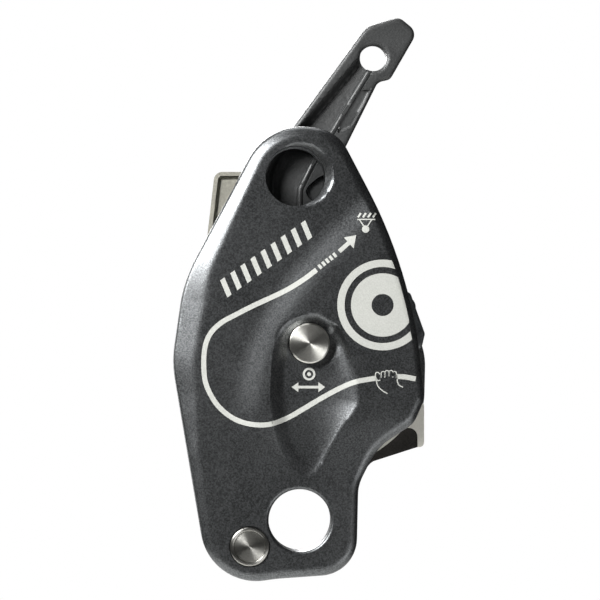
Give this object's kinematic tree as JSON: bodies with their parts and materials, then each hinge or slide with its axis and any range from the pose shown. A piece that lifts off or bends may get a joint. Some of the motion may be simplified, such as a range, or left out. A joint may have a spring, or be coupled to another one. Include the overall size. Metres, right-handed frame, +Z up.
{
  "type": "rope descender",
  "caption": "Self-braking rope descender: swinging front plate with press button, cam with thumb tab, brake anvil and a long release lever behind.",
  "frame": {"origin": "centre of the connector hole, inside the back plate's foot", "axes": "+Z up along the body, -Y towards the front plate's outer face, +Y along the connector hole towards the back, +X to the right seen from the front"},
  "size_m": [0.0766, 0.0388, 0.1712],
  "materials": {
    "plate_coating": "fine-grained satin dark grey coating on forged aluminium",
    "guide_coating": "satin dark grey coating",
    "lever_coating": "satin dark grey coating on cast aluminium",
    "cover_plastic": "moulded, lightly textured",
    "turned_steel": "turned stainless, fine concentric marks",
    "cast_stainless": "investment-cast stainless, blasted",
    "zinc_steel": "zinc-plated steel",
    "spring_steel": "drawn wire and strip",
    "dark_steel": "black-oxide steel",
    "black_screws": "black-oxide steel",
    "bronze": "sintered bronze"
  },
  "bodies": {
    "frame": {"back_plate": "plate_coating", "main_axle": "turned_steel", "axle_washer": "zinc_steel", "axle_nut": "zinc_steel", "plate_pivot_pin": "turned_steel", "pivot_washer": "zinc_steel", "pivot_nut": "zinc_steel", "anvil_block": "dark_steel", "anvil_wear_shoe": "cast_stainless", "anvil_screw": "black_screws", "anvil_dowel": "turned_steel", "rope_exit_guide": "guide_coating", "exit_guide_screws": "black_screws", "lever_stop_pins": "turned_steel", "detent_ball": "turned_steel", "detent_spring": "spring_steel", "lever_return_spring": "spring_steel", "rear_cover": "cover_plastic", "cover_screws": "black_screws"},
    "cam": {"cam": "cast_stainless", "cam_bush": "bronze", "cam_spring": "spring_steel", "cam_flange": "cast_stainless", "cam_rivets": "turned_steel", "drive_pin": "turned_steel", "thumb_tab": "cast_stainless", "tab_rivets": "turned_steel"},
    "front_plate": {"front_plate": "plate_coating", "plate_bush": "bronze"},
    "button": {"release_button": "turned_steel", "button_spring": "spring_steel", "button_clip": "spring_steel"},
    "lever": {"lever": "lever_coating", "hub_bush": "bronze"}
  },
  "joints": [
    {"name": "plate_swing", "type": "hinge", "parent": "frame", "child": "front_plate", "pos_m": [-0.01506, 0, -0.0078], "axis": [0, -1, 0], "range_deg": [0, 100]},
    {"name": "button_press", "type": "slide", "parent": "front_plate", "child": "button", "axis": [0, 1, 0], "range_m": [0, 0.0012], "stiffness_N_per_m": 900, "springref_m": -0.002, "deforming": ["button_spring"]},
    {"name": "cam_pivot", "type": "hinge", "parent": "frame", "child": "cam", "pos_m": [0.00294, 0, 0.05319], "axis": [0, -1, 0], "range_deg": [-12, 8], "stiffness_Nm_per_rad": 0.6},
    {"name": "lever_swing", "type": "hinge", "parent": "frame", "child": "lever", "pos_m": [0.00294, 0, 0.05319], "axis": [0, -1, 0], "range_deg": [0, 150], "stiffness_Nm_per_rad": 0.05, "springref_deg": -28.65}
  ]
}
